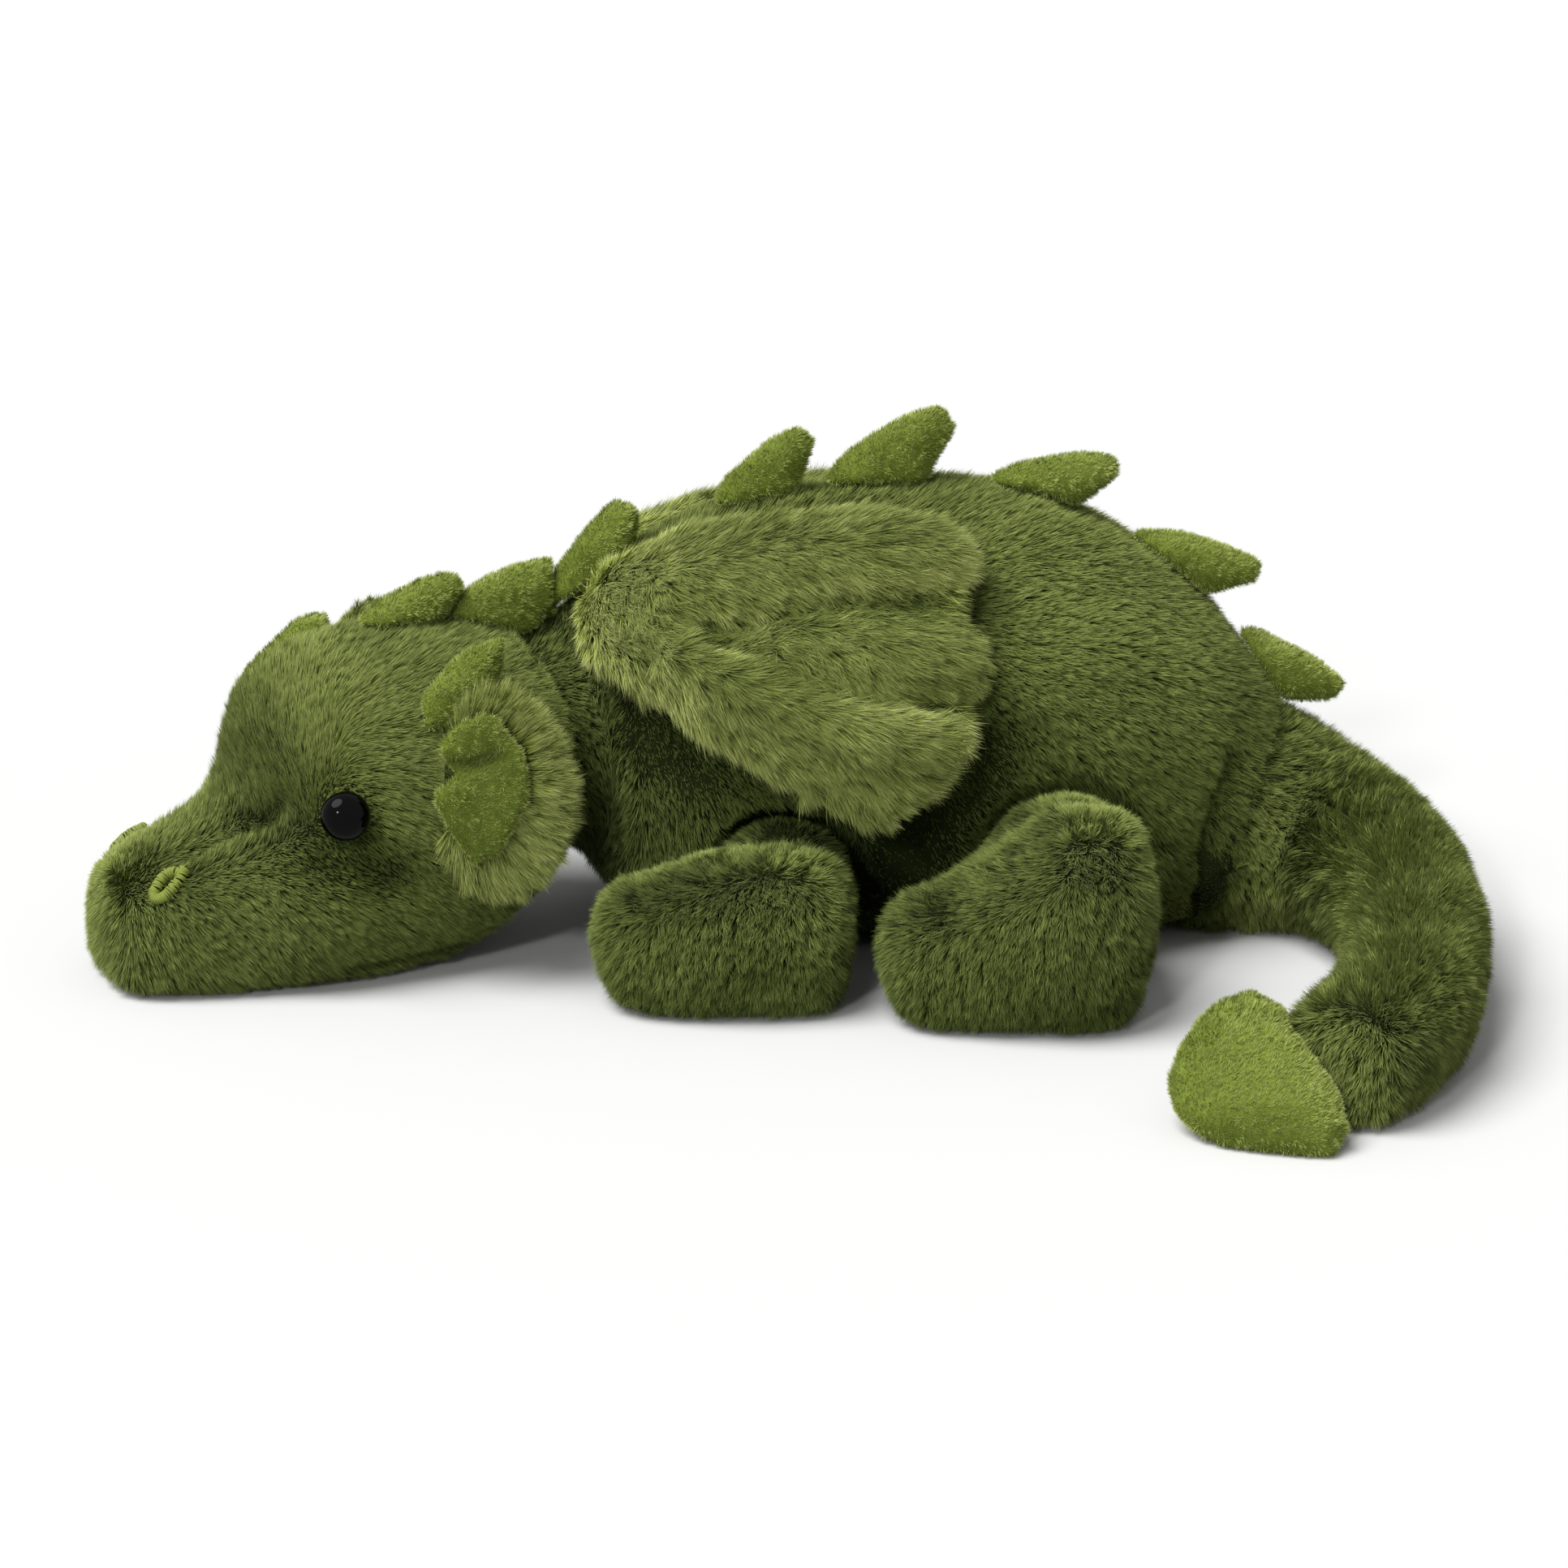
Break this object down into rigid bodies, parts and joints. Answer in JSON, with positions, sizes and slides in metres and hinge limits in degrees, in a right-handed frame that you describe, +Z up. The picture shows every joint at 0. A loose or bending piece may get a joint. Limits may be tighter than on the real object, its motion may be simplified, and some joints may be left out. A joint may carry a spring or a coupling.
{
  "type": "plush dragon",
  "caption": "Soft plush dragon lying on its belly, with turning head, flopping ears and wings, swinging legs and a curled tail with a spade tip.",
  "frame": {"origin": "on the flat resting face of the belly panel, under the middle of the body", "axes": "+X from the body towards the tail (the head points along -X), +Y towards the dragon's right side, +Z up"},
  "size_m": [0.5151, 0.4009, 0.1958],
  "materials": {
    "fur": "medium-pile olive plush, brushed back from the nose",
    "wing_fur": "longer silky pile, a little paler",
    "lime_plush": "short-pile yellow-green plush",
    "belly_plush": "short-pile dark olive plush",
    "filling": "white polyester fibre filling",
    "eye": "polished black",
    "washer": "moulded",
    "thread": "satin-stitched embroidery thread"
  },
  "bodies": {
    "body": {"body_skin": "fur", "body_stuffing": "filling", "belly_panel": "belly_plush", "spine_spike_3": "lime_plush", "spine_spike_4": "lime_plush", "spine_spike_5": "lime_plush", "spine_spike_6": "lime_plush", "spine_spike_7": "lime_plush", "spine_spike_8": "lime_plush"},
    "neck": {"neck_stuffing": "filling"},
    "head": {"head_skin": "fur", "head_stuffing": "filling", "left_eye": "eye", "right_eye": "eye", "left_eye_washer": "washer", "right_eye_washer": "washer", "left_nostril_stitching": "thread", "right_nostril_stitching": "thread", "left_horn": "lime_plush", "right_horn": "lime_plush", "spine_spike_1": "lime_plush", "spine_spike_2": "lime_plush"},
    "left_ear": {"left_ear": "wing_fur", "left_ear_lining": "lime_plush"},
    "right_ear": {"right_ear": "wing_fur", "right_ear_lining": "lime_plush"},
    "left_wing": {"left_wing_skin": "wing_fur", "left_wing_wadding": "filling"},
    "right_wing": {"right_wing_skin": "wing_fur", "right_wing_wadding": "filling"},
    "left_front_leg": {"left_front_leg_skin": "fur", "left_front_leg_stuffing": "filling"},
    "left_hind_leg": {"left_hind_leg_skin": "fur", "left_hind_leg_stuffing": "filling"},
    "right_front_leg": {"right_front_leg_skin": "fur", "right_front_leg_stuffing": "filling"},
    "right_hind_leg": {"right_hind_leg_skin": "fur", "right_hind_leg_stuffing": "filling"},
    "tail": {"tail_skin": "fur", "tail_stuffing": "filling"},
    "tail_tip": {"tail_tip_skin": "lime_plush", "tail_tip_wadding": "filling"}
  },
  "joints": [
    {"name": "head_turn", "type": "hinge", "parent": "body", "child": "neck", "pos_m": [-0.084, -0.008, 0.074], "axis": [0, 0, 1], "range_deg": [-25, 8], "stiffness_Nm_per_rad": 0.6},
    {"name": "head_lift", "type": "hinge", "parent": "neck", "child": "head", "pos_m": [-0.084, -0.008, 0.074], "axis": [-0.4067, 0.9135, 0], "range_deg": [0, 6], "stiffness_Nm_per_rad": 0.8},
    {"name": "left_ear_flop", "type": "hinge", "parent": "head", "child": "left_ear", "pos_m": [-0.1226, -0.0942, 0.075], "axis": [0, 0, -1], "range_deg": [0, 12], "stiffness_Nm_per_rad": 0.02},
    {"name": "right_ear_flop", "type": "hinge", "parent": "head", "child": "right_ear", "pos_m": [-0.1739, 0.021, 0.075], "axis": [0, 0, 1], "range_deg": [0, 12], "stiffness_Nm_per_rad": 0.02},
    {"name": "left_wing_flap", "type": "hinge", "parent": "body", "child": "left_wing", "pos_m": [0, -0.0436, 0.1611], "axis": [-1, 0, 0], "range_deg": [0, 60], "stiffness_Nm_per_rad": 0.12},
    {"name": "right_wing_flap", "type": "hinge", "parent": "body", "child": "right_wing", "pos_m": [0, 0.0462, 0.1592], "axis": [1, 0, 0], "range_deg": [0, 60], "stiffness_Nm_per_rad": 0.12},
    {"name": "left_front_leg_swing", "type": "hinge", "parent": "body", "child": "left_front_leg", "pos_m": [-0.0001, -0.075, 0.034], "axis": [0, 1, 0], "range_deg": [0, 8], "stiffness_Nm_per_rad": 0.2},
    {"name": "left_hind_leg_swing", "type": "hinge", "parent": "body", "child": "left_hind_leg", "pos_m": [0.1009, -0.087, 0.042], "axis": [0, 1, 0], "range_deg": [0, 8], "stiffness_Nm_per_rad": 0.2},
    {"name": "right_front_leg_swing", "type": "hinge", "parent": "body", "child": "right_front_leg", "pos_m": [-0.0001, 0.075, 0.034], "axis": [0, 1, 0], "range_deg": [0, 8], "stiffness_Nm_per_rad": 0.2},
    {"name": "right_hind_leg_swing", "type": "hinge", "parent": "body", "child": "right_hind_leg", "pos_m": [0.1009, 0.087, 0.042], "axis": [0, 1, 0], "range_deg": [0, 8], "stiffness_Nm_per_rad": 0.2},
    {"name": "tail_sway", "type": "hinge", "parent": "body", "child": "tail", "pos_m": [0.16495, -0.002, 0.038], "axis": [0, 0, 1], "range_deg": [-10, 10], "stiffness_Nm_per_rad": 0.4},
    {"name": "tail_tip_flop", "type": "hinge", "parent": "tail", "child": "tail_tip", "pos_m": [0.17735, -0.21793, 0.02098], "axis": [-0.3503, 0.7895, 0.504], "range_deg": [0, 15], "stiffness_Nm_per_rad": 0.03}
  ]
}
